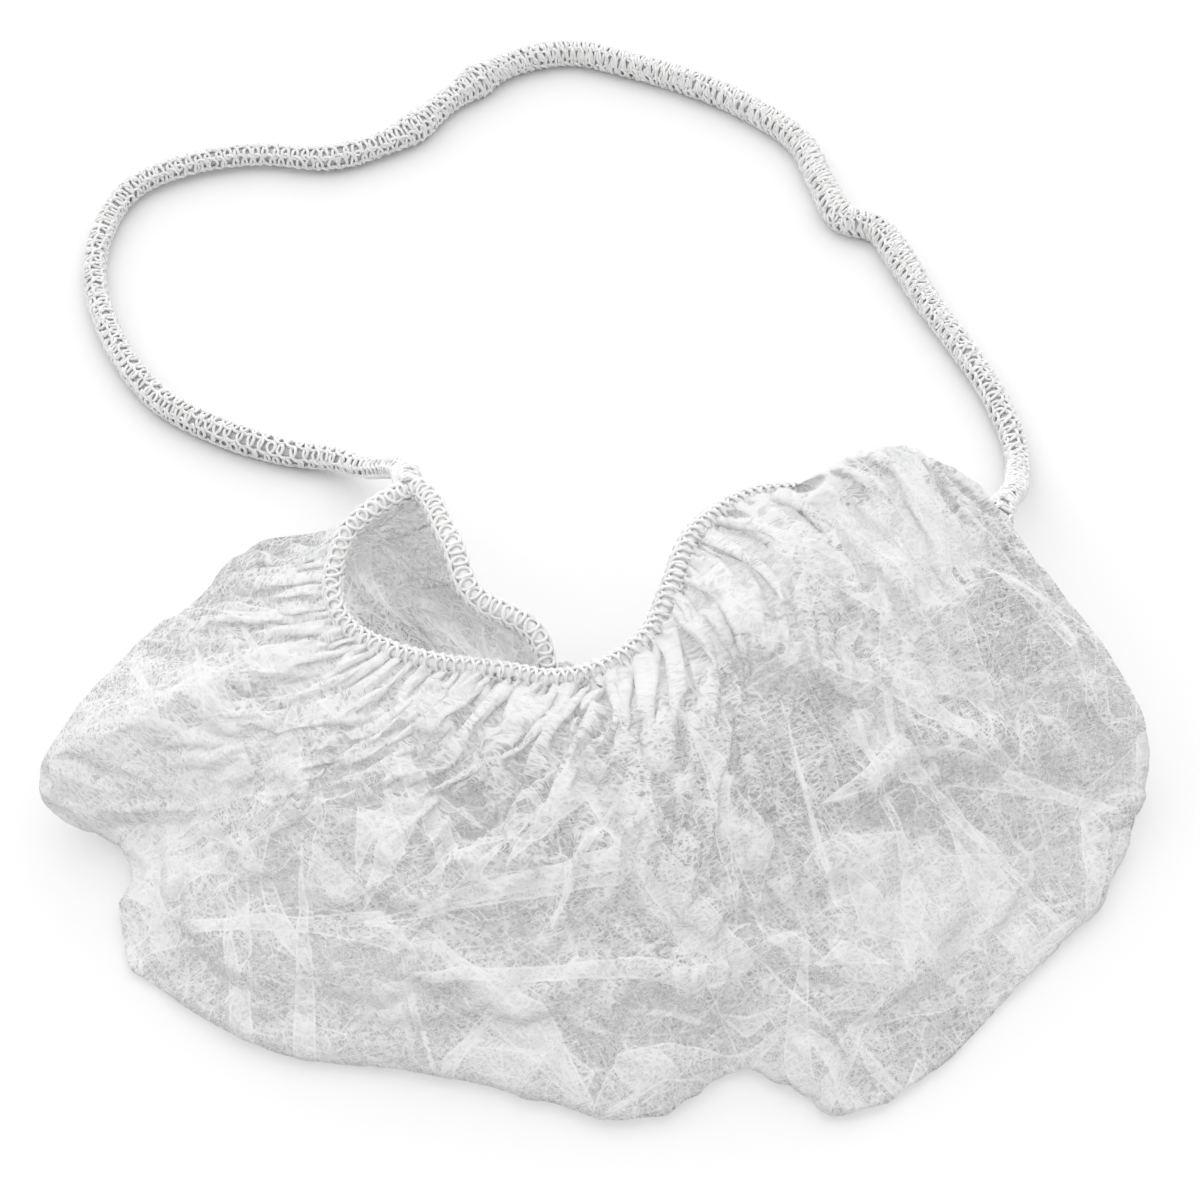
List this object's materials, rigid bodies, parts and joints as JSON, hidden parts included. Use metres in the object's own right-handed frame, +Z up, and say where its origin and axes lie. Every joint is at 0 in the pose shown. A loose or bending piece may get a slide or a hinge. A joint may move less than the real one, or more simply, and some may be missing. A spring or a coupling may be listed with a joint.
{
  "type": "disposable beard cover",
  "caption": "Gathered nonwoven beard cover lying slack, with an overlocked elastic edge round its mouth and an elastic head strap looped behind it.",
  "frame": {"origin": "on the surface that the cover lies on, under the middle of the pouch with its edge band and strap joins", "axes": "+Z up off the surface, +X from the left end of the mouth to its right end (the pouch's longest extent), -Y towards the chin side of the pouch"},
  "size_m": [0.2259, 0.3009, 0.056],
  "materials": {
    "nonwoven": "matt, translucent spunbond web",
    "elastic": "matt, overlocked polyester thread on an elastic core"
  },
  "bodies": {
    "root": {"pouch": "nonwoven", "rim_band": "elastic", "head_strap": "elastic", "strap_join_left": "elastic", "strap_join_right": "elastic"}
  },
  "joints": []
}
